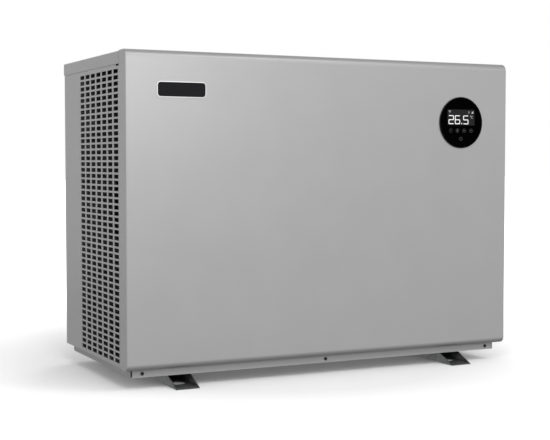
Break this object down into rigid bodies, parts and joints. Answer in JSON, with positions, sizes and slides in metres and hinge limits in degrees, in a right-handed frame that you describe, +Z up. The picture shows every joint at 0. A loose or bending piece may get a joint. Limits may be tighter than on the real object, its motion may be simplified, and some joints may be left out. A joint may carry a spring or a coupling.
{
  "type": "pool heat pump",
  "caption": "Sheet-metal pool heat pump with a slotted side air outlet, rear coil and fan, round touch display and side water unions.",
  "frame": {"origin": "on the ground, at the centre of the four foot bolt slots", "axes": "+X to the right seen from the front, -Y out of the front panel, +Z up"},
  "size_m": [1.0454, 0.486, 0.7437],
  "materials": {
    "panel_paint": "satin powder coat, silver grey",
    "foot_paint": "dark powder coat",
    "black_screw": "black coated",
    "zinc_screw": "zinc plated",
    "zinc_sheet": "galvanised",
    "drain_plastic": "moulded",
    "plate_metal": "silver face, black border",
    "bezel_plastic": "gloss",
    "display_black": "gloss black",
    "housing_plastic": "moulded",
    "board_green": "circuit board",
    "lcd_dark": "gloss",
    "fan_plastic": "moulded",
    "motor_cast": "cast",
    "winding_copper": "laminations and windings",
    "rotor_steel": "machined",
    "fin_aluminium": "mill",
    "end_plate_zinc": "galvanised",
    "copper": "drawn copper",
    "shell_black": "black enamel",
    "grommet_rubber": "rubber",
    "valve_brass": "brass",
    "coil_blue": "moulded",
    "vessel_plastic": "PVC",
    "titanium": "titanium",
    "union_plastic": "PVC",
    "switch_plastic": "moulded",
    "paddle_steel": "stainless"
  },
  "bodies": {
    "cabinet": {"accumulator": "shell_black", "base_tray": "panel_paint", "bulkhead": "zinc_sheet", "cable_gland": "housing_plastic", "compressor_bolts": "zinc_screw", "compressor_grommets": "grommet_rubber", "compressor_pump": "rotor_steel", "compressor_shell": "shell_black", "compressor_stator": "winding_copper", "control_board": "board_green", "control_box": "zinc_sheet", "corner_posts": "zinc_sheet", "discharge_pipe": "copper", "display_bezel": "bezel_plastic", "display_board": "board_green", "display_glass": "display_black", "display_housing": "housing_plastic", "drain_spigot": "drain_plastic", "evaporator_end_plates": "end_plate_zinc", "evaporator_fins": "fin_aluminium", "evaporator_tubes": "copper", "exchanger_coil": "titanium", "exchanger_shell": "vessel_plastic", "expansion_valve_body": "valve_brass", "fan_motor_casing": "motor_cast", "fan_motor_stator": "winding_copper", "filter_drier": "copper", "flow_switch_body": "switch_plastic", "foot_left": "foot_paint", "foot_right": "foot_paint", "front_panel": "panel_paint", "gas_pipes": "copper", "heat_sink": "fin_aluminium", "lcd_module": "lcd_dark", "left_side_panel": "panel_paint", "liquid_pipes": "copper", "motor_bracket": "zinc_sheet", "motor_screws": "zinc_screw", "name_plate": "plate_metal", "orifice_plate": "zinc_sheet", "panel_screws": "zinc_screw", "rear_guard": "panel_paint", "rear_panel": "panel_paint", "reversing_valve_body": "valve_brass", "right_side_panel": "panel_paint", "suction_pipe": "copper", "terminal_block": "housing_plastic", "top_cover": "panel_paint", "tray_screws": "black_screw", "union_nuts": "union_plastic", "valve_coils": "coil_blue", "water_inlet": "union_plastic", "water_outlet": "union_plastic"},
    "fan_rotor": {"fan_impeller": "fan_plastic", "fan_nut": "zinc_screw", "fan_motor_rotor": "rotor_steel"},
    "compressor_crank": {"compressor_rotor": "rotor_steel"},
    "valve_slide": {"reversing_valve_slide": "rotor_steel"},
    "expansion_needle": {"expansion_valve_needle": "rotor_steel"},
    "paddle": {"flow_paddle": "paddle_steel"}
  },
  "joints": [
    {"name": "fan_spin", "type": "hinge", "parent": "cabinet", "child": "fan_rotor", "pos_m": [-0.1789, 0.121, 0.3844], "axis": [0, 1, 0], "continuous": true},
    {"name": "compressor_spin", "type": "hinge", "parent": "cabinet", "child": "compressor_crank", "pos_m": [0.29, 0.1, 0.1], "axis": [0, 0, 1], "continuous": true},
    {"name": "valve_shift", "type": "slide", "parent": "cabinet", "child": "valve_slide", "axis": [1, 0, 0], "range_m": [0, 0.024]},
    {"name": "expansion_lift", "type": "slide", "parent": "cabinet", "child": "expansion_needle", "axis": [0, 0, 1], "range_m": [0, 0.004]},
    {"name": "paddle_swing", "type": "hinge", "parent": "cabinet", "child": "paddle", "pos_m": [0.4678, -0.115, 0.159], "axis": [0, 1, 0], "range_deg": [0, 15], "stiffness_Nm_per_rad": 0.02}
  ]
}
